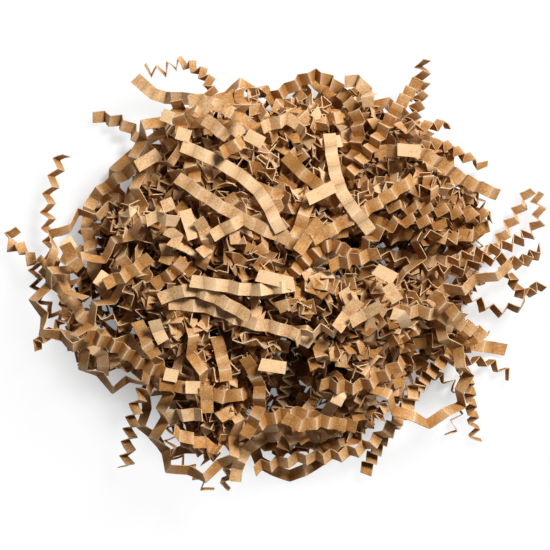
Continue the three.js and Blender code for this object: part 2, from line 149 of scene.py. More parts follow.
class PaperFolder:
    """Cuts flat blanks and folds them along crease lines."""

    # Distance from blank to blank on the flat sheet, in strip widths
    BLANK_SPACING = 1.5
    # How much of a crease's sharpness is kept when it is rounded
    CREASE_KEPT = 0.5
    # Faces that meet at less than this are shaded as one curve
    SMOOTH_BELOW = math.radians(14)

    def __init__(self, paper: PaperStrip, seed: int, detail: Detail) -> None:
        """Keeps the paper's sizes.

        Args:
            paper: The strip's sizes.
            seed: Start of the random unevenness of folds.
            detail: How finely the strips are folded.
        """
        self.paper = paper
        self.random = np.random.default_rng(seed)
        share = paper.crease_share
        self.steps = {
            Detail.SHARP: (0.0,),
            Detail.ROUNDED: (0.0, share, 1.0 - share),
            Detail.CURLED: (0.0, share, 0.5, 1.0 - share),
        }[detail]
        self.across = 2 if detail is Detail.CURLED else 1

    def cut_blanks(self, name: str, panels: int, count: int) -> bpy.types.Object:
        """Cuts equal flat strips from one sheet.

        Args:
            name: Name of the piece.
            panels: Panels in each strip.
            count: Number of strips.

        Returns:
            One object that holds the flat strips side by side.
        """
        bpy.ops.object.select_all(action="DESELECT")
        rows = panels * len(self.steps)
        bpy.ops.mesh.primitive_grid_add(x_subdivisions=self.across, y_subdivisions=rows, size=1.0)
        blank = bpy.context.object
        blank.name = name
        blank.data.name = name
        blank.scale = (self.paper.width, self.paper.panel * panels, 1.0)
        bpy.ops.object.transform_apply(location=False, rotation=False, scale=True)
        if count > 1:
            slicing = blank.modifiers.new("slicing", "ARRAY")
            slicing.count = count
            slicing.use_relative_offset = False
            slicing.use_constant_offset = True
            slicing.constant_offset_displace = (self.paper.width * self.BLANK_SPACING, 0.0, 0.0)
            bpy.ops.object.modifier_apply(modifier=slicing.name)
        return blank

    def fold_rows(self, lines: CreaseLines) -> tuple[np.ndarray, np.ndarray]:
        """Places the rows of a blank along crease lines.

        Args:
            lines: The strip's crease lines.

        Returns:
            The points, as rows of points across the strip, and for each row how near it is to a
            ridge, as 1, or to a valley, as -1.
        """
        left, right = lines.left.copy(), lines.right.copy()
        count = lines.panels
        along = unit_rows(np.gradient((left + right) / 2, axis=0))
        lean = self.random.normal(0.0, self.paper.skew, (count + 1, 1))
        left += along * lean
        right -= along * lean
        rows: list[np.ndarray] = []
        nearness: list[float] = []
        # Each crease's sign: the finish paints wear and a highlight on ridges and shade in valleys
        height = (left + right)[:, 2]
        ridge = np.sign(2 * height[1:-1] - height[:-2] - height[2:])
        ridge = np.concatenate([[0.0], ridge, [0.0]]) * (len(self.steps) > 1)
        bulge = self.random.normal(0.0, self.paper.curl, count)
        cup = self.random.normal(0.0, self.paper.cupping)
        for i in range(count):
            side = right[i] - left[i]
            forward = (left[i + 1] + right[i + 1] - left[i] - right[i]) / 2
            normal = np.cross(side, forward)
            normal /= np.linalg.norm(normal) + TINY
            for step in self.steps:
                edge_a = left[i] + (left[i + 1] - left[i]) * step
                edge_b = right[i] + (right[i + 1] - right[i]) * step
                lift = bulge[i] * math.sin(math.pi * step)
                row = self.row_across(edge_a, edge_b) + normal * lift
                row[1:-1] += normal * cup * (1.0 if step else 0.0)
                rows.append(row)
                nearness.append(self.crease_at(ridge[i], ridge[i + 1], step))
        rows.append(self.row_across(left[-1], right[-1]))
        nearness.append(0.0)
        sheet = np.array(rows)
        for i in range(1, count if len(self.steps) > 1 else 1):
            at = i * len(self.steps)
            beside = (1 - self.CREASE_KEPT) / 2 * (sheet[at - 1] + sheet[at + 1])
            sheet[at] = self.CREASE_KEPT * sheet[at] + beside
        return sheet, np.array(nearness)

    def row_across(self, edge_a: np.ndarray, edge_b: np.ndarray) -> np.ndarray:
        """Evenly spaced points from one cut edge of a strip to the other."""
        return np.array([edge_a + (edge_b - edge_a) * k / self.across for k in range(self.across + 1)])

    def crease_at(self, before: float, after: float, step: float) -> float:
        """How near a row is to a ridge or a valley.

        Args:
            before: 1 if the crease before it is a ridge, -1 for a valley.
            after: The same for the crease after it.
            step: Its place between the two.

        Returns:
            1 at a ridge, -1 at a valley, and less beside them.
        """
        if step == 0.0:
            return before
        beside = before * max(0.0, 1 - 2 * step) + after * max(0.0, 2 * step - 1)
        return self.paper.crease_shade * beside

    def fold(self, name: str, strips: Sequence[CreaseLines]) -> bpy.types.Object:
        """Cuts, folds and thickens strips that have equally many panels.

        Args:
            name: Name of the piece.
            strips: The strips, as crease lines.

        Returns:
            One closed mesh object with a shell for each strip.
        """
        panels = strips[0].panels
        blank = self.cut_blanks(name, panels, len(strips))
        mesh = blank.data
        flat = np.empty(len(mesh.vertices) * 3)
        mesh.vertices.foreach_get("co", flat)
        flat = flat.reshape(-1, 3)
        per_strip = len(flat) // len(strips)
        first = flat[:per_strip]
        order = np.lexsort((np.round(first[:, 0], 7), np.round(first[:, 1], 7)))
        crease = np.zeros(len(flat))
        tone = np.zeros(len(flat))
        for k, lines in enumerate(strips):
            sheet, nearness = self.fold_rows(lines)
            at = order + k * per_strip
            flat[at] = sheet.reshape(-1, 3)
            crease[at] = np.repeat(nearness, self.across + 1)
            tone[at] = lines.tone
        mesh.vertices.foreach_set("co", flat.ravel())
        # The crease values say where the finish paints ridge highlights with wear and valley shade
        for label, values in (("crease", crease), ("tone", tone)):
            layer = mesh.attributes.new(label, "FLOAT", "POINT")
            layer.data.foreach_set("value", values)
        mesh.update()
        self.thicken(blank)
        return blank

    def thicken(self, sheet: bpy.types.Object) -> None:
        """Gives a folded sheet its paper thickness and pale cut edges.

        Args:
            sheet: The folded sheet, without thickness.
        """
        for finish in (kraft_face, kraft_edge):
            sheet.data.materials.append(finish)
        body = sheet.modifiers.new("thickness", "SOLIDIFY")
        body.thickness = self.paper.thickness
        body.offset = 0.0
        body.material_offset_rim = 1
        bpy.context.view_layer.objects.active = sheet
        bpy.ops.object.modifier_apply(modifier=body.name)
        bpy.ops.object.select_all(action="DESELECT")
        sheet.select_set(True)
        bpy.ops.object.shade_smooth_by_angle(angle=self.SMOOTH_BELOW)
        sheet.select_set(False)


class PackedStrip:
    """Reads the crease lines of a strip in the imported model."""

    # Corners nearer than this face each other through the paper
    THIN = 1.0 * MM
    # Corners nearer than this are one corner
    SAME_CORNER = 1e-6

    def __init__(self, node: bpy.types.Object, paper: PaperStrip) -> None:
        """Keeps the node.

        Args:
            node: The strip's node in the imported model.
            paper: The strip's sizes.
        """
        self.node = node
        self.paper = paper

    def merged(self) -> bmesh.types.BMesh:
        """Copies the node's mesh and merges its doubled corners.

        Returns:
            The merged copy, which the caller frees.
        """
        copy = bmesh.new()
        copy.from_mesh(self.node.data)
        bmesh.ops.remove_doubles(copy, verts=copy.verts, dist=self.SAME_CORNER)
        copy.verts.ensure_lookup_table()
        return copy

    def crease_ends(self, mesh: bmesh.types.BMesh) -> tuple[dict[int, int], np.ndarray]:
        """Pairs the corners that face each other through the paper.

        Args:
            mesh: The merged mesh.

        Returns:
            The number of each corner's pair, and the middle of each pair.
        """
        pair_of: dict[int, int] = {}
        middles: list[np.ndarray] = []
        for edge in sorted(mesh.edges, key=lambda e: e.calc_length()):
            a, b = edge.verts
            if edge.calc_length() > self.THIN:
                break
            if a.index in pair_of or b.index in pair_of:
                continue
            pair_of[a.index] = pair_of[b.index] = len(middles)
            middles.append(np.array((a.co + b.co) / 2))
        return pair_of, np.array(middles)

    def outline(self, mesh: bmesh.types.BMesh, pair_of: dict[int, int], count: int) -> list[int]:
        """Walks round the strip's cut edge.

        Args:
            mesh: The merged mesh.
            pair_of: The number of each corner's pair.
            count: Number of pairs.

        Returns:
            The pairs in order round the edge.
        """
        beside: dict[int, set[int]] = {i: set() for i in range(count)}
        for face in mesh.faces:
            met = {pair_of[v.index] for v in face.verts}
            if len(met) == 2:
                a, b = met
                beside[a].add(b)
                beside[b].add(a)
        walk = [0]
        came = -1
        while True:
            ahead = [p for p in sorted(beside[walk[-1]]) if p != came]
            came = walk[-1]
            if ahead[0] == walk[0] or len(walk) > count:
                break
            walk.append(ahead[0])
        return walk

    def crease_lines(self, tone: float) -> CreaseLines:
        """The strip's crease lines.

        Args:
            tone: How pale the strip's paper is.

        Returns:
            The two ends of each crease line.
        """
        mesh = self.merged()
        pair_of, middles = self.crease_ends(mesh)
        walk = middles[self.outline(mesh, pair_of, len(middles))]
        mesh.free()
        half = len(walk) // 2
        best, kept = math.inf, None
        for start in range(half):
            left = walk[(start + np.arange(half)) % len(walk)]
            right = walk[(start - 1 - np.arange(half)) % len(walk)]
            off = np.abs(np.linalg.norm(left - right, axis=1) - self.paper.width).max()
            if off < best:
                best, kept = off, (left, right)
        return CreaseLines(kept[0], kept[1], tone)


@dataclass(frozen=True)
class HeapForm:
    """The outline of the heap's dense part.

    Args:
        outline: Plan points round it, in millimetres.
        height: Height of its crown.
        fullness: How square its shoulders are.
    """

    outline: tuple[tuple[float, float], ...] = (
        (49, 1), (50, 8), (52, 15), (50, 21), (43, 27), (36, 33), (24, 42), (8, 45),
        (-8, 42), (-18, 38), (-28, 35), (-32, 27), (-38, 21), (-44, 13), (-48, 4),
        (-50, -6), (-48, -17), (-45, -21), (-40, -23), (-34, -22), (-30, -26),
        (-26, -31), (-23, -38), (-15, -45), (-4, -45), (6, -43), (20, -41),
        (25, -33), (30, -27), (35, -22), (44, -23), (48, -15), (44, -9), (46, -4),
    )
    height: float = 0.036
    fullness: float = 0.55

    def reach(self, x: np.ndarray, y: np.ndarray) -> np.ndarray:
        """Measures how far out plan points lie.

        Args:
            x: Their places along the heap.
            y: Their places across it.

        Returns:
            Their distance from the middle, as a share of the outline's.
        """
        corners = np.array(self.outline) * MM
        bearing = np.arctan2(corners[:, 1], corners[:, 0])
        order = np.argsort(bearing)
        away = np.hypot(*corners.T)[order]
        far = np.interp(np.arctan2(y, x), bearing[order], away, period=2 * math.pi)
        return np.hypot(x, y) / far

    def height_at(self, x: np.ndarray, y: np.ndarray) -> np.ndarray:
        """Height of the heap's outline over plan points."""
        return self.height * np.clip(1.0 - self.reach(x, y) ** 2, 0.0, 1.0) ** self.fullness


@dataclass
class HeapRoom:
    """Which places in the heap are taken, on a fine grid.

    Args:
        form: The outline of the heap.
        cell: Size of a grid cell.
    """

    # Share of the heap's height above which a strip is near its top
    NEAR_TOP = 0.75
    # A place is bare when fewer cells than this hold paper under it, counted up to COUNTED in
    # each column and averaged over the columns AROUND it
    BARE_BELOW = 3.0
    COUNTED = 4
    AROUND = range(-2, 3)
    # What a point counts that hides a shown strip, or that lies outside the box
    HIDING = 2.0
    OUTSIDE = 6.0

    form: HeapForm
    cell: float = 1.0 * MM
    low: np.ndarray = field(init=False)
    high: np.ndarray = field(init=False)
    taken: np.ndarray = field(init=False)
    cover: np.ndarray = field(init=False)
    top: np.ndarray = field(init=False)

    def __post_init__(self) -> None:
        """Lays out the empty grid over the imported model's box."""
        self.low = np.array(CAD_LOW)
        self.high = np.array(CAD_HIGH)
        shape = np.ceil((self.high - self.low) / self.cell).astype(int) + 1
        self.taken = np.zeros(shape, dtype=np.int16)
        self.cover = np.full(shape[:2], np.inf)
        self.top = np.zeros(shape[:2])

    def cells(self, points: np.ndarray) -> tuple[np.ndarray, ...]:
        """Finds the grid cells of points.

        Args:
            points: The points.

        Returns:
            Their cell numbers along each axis, held inside the grid.
        """
        at = ((points - self.low) / self.cell).astype(int)
        at = np.clip(at, 0, np.array(self.taken.shape) - 1)
        return at[:, 0], at[:, 1], at[:, 2]

    def take(self, lines: CreaseLines, shown: bool, near: float = NEAR_TOP) -> None:
        """Marks a strip's place.

        Args:
            lines: The strip.
            shown: Whether later strips keep below what of it lies near the heap's outline.
            near: How near that is, as a share of the outline's height there.
        """
        points = lines.samples()
        x, y, z = self.cells(points)
        np.add.at(self.taken, (x, y, z), 1)
        np.maximum.at(self.top, (x, y), points[:, 2])
        seen = points[:, 2] > near * self.form.height_at(points[:, 0], points[:, 1])
        if not shown or not seen.any():
            return
        for i in (-1, 0, 1):
            for j in (-1, 0, 1):
                near_x = np.clip(x[seen] + i, 0, self.cover.shape[0] - 1)
                near_y = np.clip(y[seen] + j, 0, self.cover.shape[1] - 1)
                np.minimum.at(self.cover, (near_x, near_y), points[seen, 2])

    def top_near(self, points: np.ndarray, radius: float) -> np.ndarray:
        """The highest paper within a square round each plan point.

        Args:
            points: Plan points.
            radius: Half of the square's side.

        Returns:
            One height per point.
        """
        reach = int(math.ceil(radius / self.cell))
        x, y, _ = self.cells(np.column_stack([points, np.zeros(len(points))]))
        found = np.zeros(len(points))
        for i in range(-reach, reach + 1):
            for j in range(-reach, reach + 1):
                near_x = np.clip(x + i, 0, self.top.shape[0] - 1)
                near_y = np.clip(y + j, 0, self.top.shape[1] - 1)
                found = np.maximum(found, self.top[near_x, near_y])
        return found

    def bare(self, within: float) -> np.ndarray:
        """Plan points where the floor would show, those with least paper round them first.

        Args:
            within: How far out they may lie, as a share of the heap's outline.

        Returns:
            One plan point per bare cell.
        """
        paper = (self.taken > 0).sum(axis=2).clip(max=self.COUNTED)
        shifts = [(i, j) for i in self.AROUND for j in self.AROUND]
        near = np.mean([np.roll(paper, shift, (0, 1)) for shift in shifts], axis=0)
        found = np.argwhere(near < self.BARE_BELOW)
        found = found[np.argsort(near[found[:, 0], found[:, 1]], kind="stable")]
        points = self.low[:2] + (found + 0.5) * self.cell
        return points[self.form.reach(points[:, 0], points[:, 1]) < within]

    def crowding(self, points: np.ndarray) -> float:
        """How much a strip would run into others, or hide the shown ones.

        Args:
            points: Points of the strip.

        Returns:
            A number that is 0 in free space.
        """
        x, y, z = self.cells(points)
        outside = np.logical_or(points < self.low, points > self.high).any(axis=1).sum()
        above = (points[:, 2] > self.cover[x, y]).sum()
        met = (self.taken[x, y, z] > 0).sum()
        return float(met + self.HIDING * above + self.OUTSIDE * outside)


@dataclass
class StrandRecipe:
    """How one loose strip runs.

    Args:
        route: Centre line, one point per crease.
        fold: How steep its panels stand, in radians, one per panel.
        roll: Turn about its own run at each crease, in radians.
        tone: How pale its paper is.
        panel: From crease to crease.
    """

    route: np.ndarray
    fold: np.ndarray
    roll: np.ndarray
    tone: float
    panel: float

    def crease_lines(self, paper: PaperStrip) -> CreaseLines:
        """Folds the recipe into crease lines.

        Args:
            paper: The strip's sizes.

        Returns:
            The strip's crease lines.
        """
        forward = unit_rows(np.gradient(self.route, axis=0))
        level = np.stack([-forward[:, 1], forward[:, 0], np.zeros(len(forward))], axis=1)
        level = unit_rows(level, least=1e-9)
        up = np.cross(forward, level)
        cos, sin = np.cos(self.roll)[:, None], np.sin(self.roll)[:, None]
        side = level * cos + up * sin
        face = up * cos - level * sin
        tilt = np.empty(len(self.route))
        tilt[1:-1] = (self.fold[:-1] + self.fold[1:]) / 2
        tilt[0], tilt[-1] = self.fold[0], self.fold[-1]
        wave = (np.where(np.arange(len(tilt)) % 2, -0.5, 0.5) * self.panel * np.sin(tilt))[:, None]
        middle = self.route + face * wave
        left, right = middle + side * paper.width / 2, middle - side * paper.width / 2
        return CreaseLines(left, right, self.tone)


@dataclass(frozen=True)
class TopStrip:
    """A short strip that is seen on top of the heap.

    Args:
        via: Plan points of its run, in millimetres.
        fold: How steep its panels stand, in degrees.
        roll: Turn about its own run, in degrees.
        tone: How pale its paper is.
        panel: From crease to crease, in millimetres.
    """

    via: tuple[tuple[float, float], ...]
    fold: float
    roll: float = 8.0
    tone: Tone = Tone.PLAIN
    panel: float = 3.0


class StripLayer:
    """Lays strips on and in the heap."""

    # Tries for each loose strip, and what a point outside the heap's outline counts
    TRIES = 22
    ASTRAY = 4.0
    # Mean folds and rolls that loose strips have, in degrees, and how often
    FOLDS = (22.0, 46.0, 57.0, 64.0)
    FOLD_SHARES = (0.08, 0.24, 0.36, 0.32)
    ROLLS = (6.0, 35.0, 65.0, 86.0)
    ROLL_SHARES = (0.2, 0.16, 0.24, 0.4)
    # Shortest and longest panel, in millimetres
    PANELS_FROM_TO = (2.2, 2.9)
    # Unevenness of folds, in degrees, and the flattest and steepest panel, in radians
    FOLD_SPREAD = 8
    FLATTEST, STEEPEST = 0.06, 1.2
    # Over how many panels a strip flattens towards its ends, and how flat an end gets
    END_PANELS = (0.6, 3.0)
    END_SHARE = 0.15
    # Usual radius of a run's bends, sharp turns per strip, and how much a turn also rolls it
    BEND_RADIUS = 20 * MM
    KINKS = 1.8
    KINK_ROLL = 0.6
    # Usual twist from end to end, in radians
    TWIST = 0.7
    # How far loose strips usually rise and dip, and in how many waves
    RIPPLE = 3.2 * MM
    WAVES = (0.4, 1.6)
    # Lowest centre line, and how far one may stand above the heap's outline
    LOWEST = 2.0 * MM
    STANDS_OUT = 1.0 * MM
    # How far out a loose strip's middle may lie, as a share of the heap's outline
    FARTHEST = 0.97
    # Mean tone of loose strips and its spread
    LOOSE_TONE = Tone.PLAIN.value - 0.04
    TONE_SPREAD = 0.24
    # For top strips: how far to each side they feel for what lies below, in widths, their
    # clearance above it, and the least share of the heap's height they lie at
    FELT = 0.6
    CLEAR = 0.3 * MM
    LEAST_HEIGHT = 0.8

    def __init__(self, paper: PaperStrip, form: HeapForm, room: HeapRoom, seed: int) -> None:
        """Keeps what the strips are laid in.

        Args:
            paper: The strip's sizes.
            form: The outline of the heap.
            room: Which places are taken.
            seed: Start of the random routes.
        """
        self.paper = paper
        self.form = form
        self.room = room
        self.random = np.random.default_rng(seed)

    def uneven(self, fold: float, panels: int) -> np.ndarray:
        """Uneven panel angles round a mean, flatter towards the two ends.

        Args:
            fold: Their mean, in degrees.
            panels: Number of panels.

        Returns:
            One angle per panel, in radians.
        """
        rnd = self.random
        angles = math.radians(fold) + rnd.normal(0.0, math.radians(self.FOLD_SPREAD), panels)
        angles = np.clip(angles, self.FLATTEST, self.STEEPEST)
        from_end = np.minimum(np.arange(panels), np.arange(panels)[::-1])
        return angles * np.clip((from_end + 1) / rnd.uniform(*self.END_PANELS), self.END_SHARE, 1.0)

    def top_strip(self, given: TopStrip) -> CreaseLines:
        """Lays a top strip over what is below it.

        Args:
            given: The strip.

        Returns:
            Its crease lines.
        """
        via = np.array(given.via) * MM
        lengths = np.concatenate([[0.0], np.cumsum(np.linalg.norm(np.diff(via, axis=0), axis=1))])
        panel = given.panel * MM
        panels = max(1, round(lengths[-1] / (panel * math.cos(math.radians(given.fold)))))
        fold = self.uneven(given.fold, panels)
        along = np.concatenate([[0.0], np.cumsum(np.cos(fold))])
        along *= lengths[-1] / along[-1]
        plan = np.stack([np.interp(along, lengths, via[:, k]) for k in (0, 1)], axis=1)
        dense = np.linspace(0.0, lengths[-1], 4 * panels + 1)
        run = np.stack([np.interp(dense, lengths, via[:, k]) for k in (0, 1)], axis=1)
        under = self.room.top_near(run, self.paper.width * self.FELT)
        below = np.array([under[max(0, 4 * i - 4) : 4 * i + 5].max() for i in range(panels + 1)])
        lift = 0.5 * panel * math.sin(math.radians(given.fold)) + self.CLEAR
        dome = self.form.height_at(plan[:, 0], plan[:, 1])
        height = np.maximum(below, self.LEAST_HEIGHT * dome) + lift
        if panels > 2:
            soft = np.convolve(np.pad(height, 2, mode="edge"), np.ones(5) / 5, mode="valid")
            height = 0.5 * (soft + np.maximum(soft, height))
        height = np.minimum(height, self.room.high[2] - lift)
        roll = np.full(panels + 1, math.radians(given.roll))
        route = np.column_stack([plan, height])
        lines = StrandRecipe(route, fold, roll, given.tone.value, panel).crease_lines(self.paper)
        self.room.take(lines, shown=True)
        return lines

    def anywhere(self) -> np.ndarray:
        """Picks a place in the heap.

        Returns:
            A plan point within the heap's outline.
        """
        bearing = self.random.uniform(-math.pi, math.pi)
        middle = np.array([math.cos(bearing), math.sin(bearing)]) * MM
        out = math.sqrt(self.random.uniform(0.0, 1.0))
        return middle * out * self.FARTHEST / float(self.form.reach(*middle))

    def loose_recipe(
        self, panels: int, levels: tuple[float, float], middle: np.ndarray | None
    ) -> StrandRecipe:
        """Makes up one loose strip.

        Args:
            panels: Number of its panels.
            levels: Lowest and highest share of the heap's height that it lies at.
            middle: Plan point of its middle, or none for anywhere.

        Returns:
            A strip somewhere in the heap.
        """
        rnd = self.random
        panel = rnd.uniform(*self.PANELS_FROM_TO) * MM
        fold = self.uneven(rnd.choice(self.FOLDS, p=self.FOLD_SHARES), panels)
        advance = panel * np.cos(fold)
        turn = rnd.normal(0.0, 1.0) * advance / self.BEND_RADIUS
        kinks = np.where(rnd.random(panels) < self.KINKS / panels, rnd.normal(0.0, 1.0, panels), 0.0)
        heading = rnd.uniform(0, 2 * math.pi) + np.cumsum(turn + kinks)
        steps = np.stack([np.cos(heading) * advance, np.sin(heading) * advance], axis=1)
        plan = np.vstack([[0.0, 0.0], np.cumsum(steps, axis=0)])
        plan += (self.anywhere() if middle is None else middle) - plan[len(plan) // 2]
        dome = self.form.height_at(plan[:, 0], plan[:, 1])
        waves = np.linspace(0, 2 * math.pi * rnd.uniform(*self.WAVES), panels + 1)
        waves = waves + rnd.uniform(0, 2 * math.pi)
        ripple = rnd.normal(0.0, self.RIPPLE) * np.sin(waves)
        highest = dome + self.STANDS_OUT + self.LOWEST * (dome < self.LOWEST)
        height = np.clip(rnd.uniform(*levels) * dome + ripple, self.LOWEST, highest)
        height = np.convolve(np.pad(height, 1, mode="edge"), np.ones(3) / 3, mode="valid")
        roll = math.radians(rnd.choice(self.ROLLS, p=self.ROLL_SHARES)) * rnd.choice([-1, 1])
        turned = np.concatenate([[0.0], np.cumsum(kinks)]) * self.KINK_ROLL
        roll = roll + turned + np.linspace(-0.5, 0.5, panels + 1) * rnd.normal(0.0, self.TWIST)
        tone = float(np.clip(rnd.normal(self.LOOSE_TONE, self.TONE_SPREAD), 0.0, 1.0))
        return StrandRecipe(np.column_stack([plan, height]), fold, roll, tone, panel)

    def loose_strip(
        self, panels: int, levels: tuple[float, float], middle: np.ndarray | None = None
    ) -> CreaseLines:
        """Lays one strip at the least crowded of a few places. It may still cross others.

        Args:
            panels: Number of its panels.
            levels: Lowest and highest share of the heap's height that it lies at.
            middle: Plan point of its middle, or none for anywhere.

        Returns:
            The strip that was kept.
        """
        best, kept = math.inf, None
        for _ in range(self.TRIES):
            lines = self.loose_recipe(panels, levels, middle).crease_lines(self.paper)
            points = lines.samples()
            astray = (self.form.reach(points[:, 0], points[:, 1]) > 1.0).sum()
            score = (self.room.crowding(points) + self.ASTRAY * astray) / len(points)
            if score < best:
                best, kept = score, lines
        self.room.take(kept, shown=False)
        return kept


# Numbers of the colour sockets of a node that mixes two colours
MIX_UNDER, MIX_OVER, MIX_RESULT = 6, 7, 2


class Socketed:
    """A shader value that does arithmetic by adding Math nodes."""

    def __init__(self, tree: bpy.types.NodeTree, socket: bpy.types.NodeSocket) -> None:
        """Wraps an output socket of a node tree."""
        self.tree = tree
        self.socket = socket

    def math(self, operation: str, first: "Socketed | float", second: "Socketed | float") -> "Socketed":
        """Adds one Math node.

        Args:
            operation: The node's operation.
            first: Its first value.
            second: Its second value.

        Returns:
            The node's result.
        """
        node = self.tree.nodes.new("ShaderNodeMath")
        node.operation = operation
        for slot, value in zip(node.inputs, (first, second)):
            if isinstance(value, Socketed):
                self.tree.links.new(value.socket, slot)
            else:
                slot.default_value = value
        return Socketed(self.tree, node.outputs[0])

    def __add__(self, other: "Socketed | float") -> "Socketed":
        """Sum."""
        return self.math("ADD", self, other)

    __radd__ = __add__

    def __sub__(self, other: "Socketed | float") -> "Socketed":
        """Difference."""
        return self.math("SUBTRACT", self, other)

    def __rsub__(self, other: "Socketed | float") -> "Socketed":
        """Difference from a number."""
        return self.math("SUBTRACT", other, self)

    def __mul__(self, other: "Socketed | float") -> "Socketed":
        """Product."""
        return self.math("MULTIPLY", self, other)

    __rmul__ = __mul__


class NodeSheet:
    """A node tree and the one method that adds any node to it."""

    def __init__(self, tree: bpy.types.NodeTree) -> None:
        """Keeps the tree."""
        self.tree = tree

    def node(
        self, kind: str, settings: dict | None = None, inputs: dict | None = None, output: int | str = 0
    ) -> Socketed | None:
        """Adds a node.

        Args:
            kind: The node's type.
            settings: Its own settings, set first; stops are a colour ramp's stops.
            inputs: Values or links of its sockets, by name or number.
            output: The socket that is handed back.

        Returns:
            The wrapped output socket, or none for a node without outputs.
        """
        node = self.tree.nodes.new(kind)
        for key, value in (settings or {}).items():
            if key == "stops":
                ramp = node.color_ramp
                for element, (place, colour) in zip(self.stops(ramp, len(value)), value):
                    element.position = place
                    element.color = (*colour, 1.0)
            else:
                setattr(node, key, value)
        for key, value in (inputs or {}).items():
            if isinstance(value, Socketed):
                self.tree.links.new(value.socket, node.inputs[key])
            else:
                node.inputs[key].default_value = value
        return Socketed(self.tree, node.outputs[output]) if node.outputs else None

    @staticmethod
    def stops(ramp: bpy.types.ColorRamp, count: int) -> list[bpy.types.ColorRampElement]:
        """Gives a ramp as many elements as are needed.

        Args:
            ramp: The colour ramp.
            count: Number of elements.

        Returns:
            Its elements.
        """
        while len(ramp.elements) < count:
            ramp.elements.new(0.5)
        return list(ramp.elements)


class ShaderSheet(NodeSheet):
    """A new material and its nodes."""

    def __init__(self, name: str) -> None:
        """Makes an empty node material.

        Args:
            name: Name of the material.
        """
        self.material = bpy.data.materials.new(name)
        self.material.use_nodes = True
        super().__init__(self.material.node_tree)
        self.tree.nodes.clear()

    def mixed(self, share: Socketed, under: Socketed, over: tuple[float, float, float]) -> Socketed:
        """Mixes a plain colour over another.

        Args:
            share: How much of the plain colour is seen.
            under: The other colour.
            over: The plain colour.

        Returns:
            The mixed colour.
        """
        settings = {"data_type": "RGBA", "clamp_factor": True}
        values = {"Factor": share, MIX_UNDER: under, MIX_OVER: (*over, 1.0)}
        return self.node("ShaderNodeMix", settings, values, output=MIX_RESULT)


@dataclass(frozen=True)
class KraftFinish:
    """Unbleached kraft paper.

    Args:
        name: Name of the material.
        dark: Colour of the darkest strips.
        plain: Colour of most strips.
        pale: Colour of the palest strips.
        ridge: Colour of creases that stand up, where the paper is worn and a painted highlight goes on.
        valley: Colour of the painted shade down in a crease.
        roughness: Of the surface.
        cloud_scale: Fineness of the paper's uneven tone.
        fibre_scale: Fineness of its fibres.
        cloudiness: How much the tone changes by that unevenness.
        streaks: How much it changes by the fibres.
        tooth_depth: Height of the surface's tooth.
        shine: Strength of its reflection.
    """

    name: str
    dark: tuple[float, float, float]
    plain: tuple[float, float, float]
    pale: tuple[float, float, float]
    ridge: tuple[float, float, float]
    valley: tuple[float, float, float] = (0.2, 0.08, 0.02)
    roughness: float = 0.72
    cloud_scale: float = 420.0
    fibre_scale: float = 2600.0
    cloudiness: float = 0.6
    streaks: float = 1.2
    tooth_depth: float = 0.05 * MM
    shine: float = 0.35

    def build(self) -> bpy.types.Material:
        """Makes the material: tone by strip, fibres, flecks, creases with painted shade in valleys and with
        wear and a painted highlight on ridges, and a fine tooth.

        Returns:
            The material.
        """
        sheet = ShaderSheet(self.name)
        place = sheet.node("ShaderNodeTexCoord", output="Object")
        tone = sheet.node("ShaderNodeAttribute", {"attribute_name": "tone"}, output="Fac")
        crease = sheet.node("ShaderNodeAttribute", {"attribute_name": "crease"}, output="Fac")
        uneven = {"Vector": place, "Scale": self.cloud_scale, "Detail": 4.0}
        cloud = sheet.node("ShaderNodeTexNoise", inputs=uneven)
        grain = {"Vector": place, "Scale": self.fibre_scale, "Detail": 3.0, "Distortion": 1.2}
        fibre = sheet.node("ShaderNodeTexNoise", inputs=grain)
        level = tone + (cloud - 0.5) * self.cloudiness + (fibre - 0.5) * self.streaks
        stops = [(0.0, self.dark), (0.5, self.plain), (1.0, self.pale)]
        colour = sheet.node("ShaderNodeValToRGB", {"stops": stops}, {"Fac": level})
        # Creases are above 0 on ridges, below 0 in valleys: valleys get painted shade, ridges get wear with
        # a painted highlight
        valley_shaded = sheet.mixed(crease * (fibre * 0.5 - 0.85), colour, self.valley)
        worn_and_highlit = sheet.mixed(crease * (0.25 + fibre * 0.7), valley_shaded, self.ridge)
        relief = {"Strength": 0.35, "Distance": self.tooth_depth, "Height": fibre + cloud * 0.6}
        tooth = sheet.node("ShaderNodeBump", inputs=relief)
        surface = sheet.node(
            "ShaderNodeBsdfPrincipled",
            inputs={
                "Base Color": worn_and_highlit,
                "Roughness": self.roughness + (fibre - 0.5) * 0.2,
                "Normal": tooth,
                "Specular IOR Level": self.shine,
            },
        )
        sheet.node("ShaderNodeOutputMaterial", inputs={"Surface": surface})
        return sheet.material


